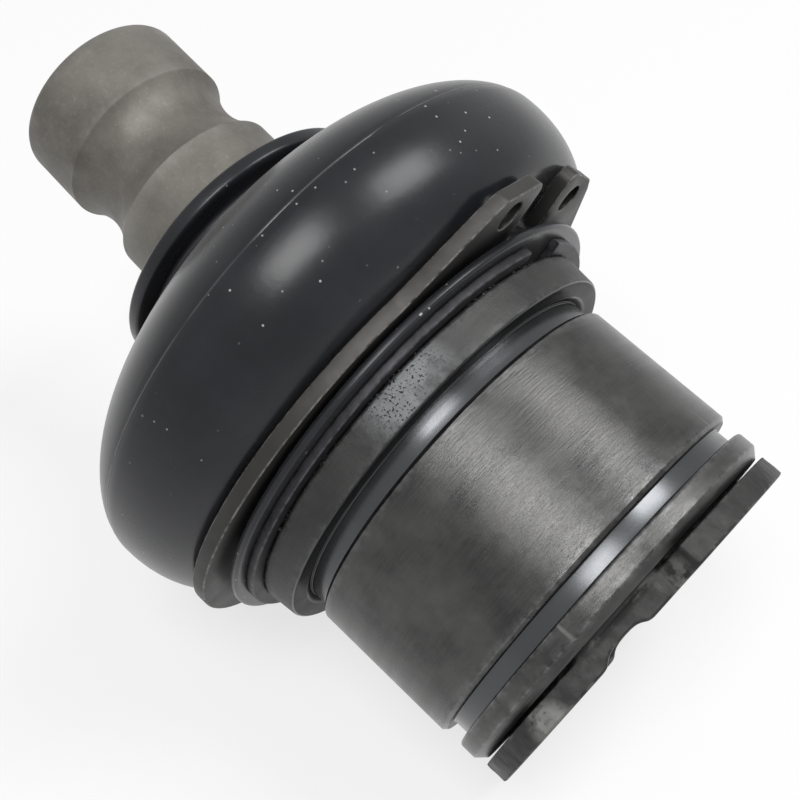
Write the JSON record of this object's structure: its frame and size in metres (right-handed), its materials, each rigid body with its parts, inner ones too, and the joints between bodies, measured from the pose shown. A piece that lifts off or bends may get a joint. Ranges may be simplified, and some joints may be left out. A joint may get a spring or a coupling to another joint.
{
  "type": "suspension ball joint",
  "caption": "Press-in suspension ball joint with grooved stud, rubber dust boot, snap ring and closing plate.",
  "frame": {"origin": "centre of the ball, on the housing's axis, about which the stud tilts and turns", "axes": "+Z along the housing's axis towards the stud, +Y the way the stud leans at rest, +X the near side of the picture"},
  "size_m": [0.0488, 0.0488, 0.0662],
  "materials": {
    "turned_steel": "turned steel, oiled and dark, with bright edges",
    "stamped_steel": "blackened sheet steel, rough sheared edge",
    "phosphated_steel": "matte grey phosphate",
    "bearing_plastic": "plain acetal",
    "bright_steel": "bright sheet steel",
    "spring_steel": "oil-blackened spring steel",
    "boot_rubber": "soft matte rubber",
    "clamp_steel": "blackened flat steel",
    "circlip_steel": "blackened spring steel, worn outer edge"
  },
  "bodies": {
    "housing_body": {"housing": "turned_steel", "closing_plate": "stamped_steel", "upper_bearing_seat": "bearing_plastic", "boot_clamp_ring": "clamp_steel", "pressure_disc": "bright_steel", "preload_spring": "spring_steel"},
    "swing_body": {"lower_bearing_seat": "bearing_plastic", "boot": "boot_rubber", "retaining_circlip": "circlip_steel"},
    "tilt_body": {"boot_top_ring": "spring_steel"},
    "stud_body": {"ball_stud": "phosphated_steel"}
  },
  "joints": [
    {"name": "swing_direction", "type": "hinge", "parent": "housing_body", "child": "swing_body", "pos_m": [0, 0, 0], "axis": [0, 0, 1], "continuous": true},
    {"name": "stud_tilt", "type": "hinge", "parent": "swing_body", "child": "tilt_body", "pos_m": [0, 0, 0], "axis": [-1, 0, 0], "range_deg": [-27.5, 20.5], "deforming": ["boot"]},
    {"name": "stud_spin", "type": "hinge", "parent": "tilt_body", "child": "stud_body", "pos_m": [0, 0, 0], "axis": [0, 0.061, 0.9981], "continuous": true}
  ]
}
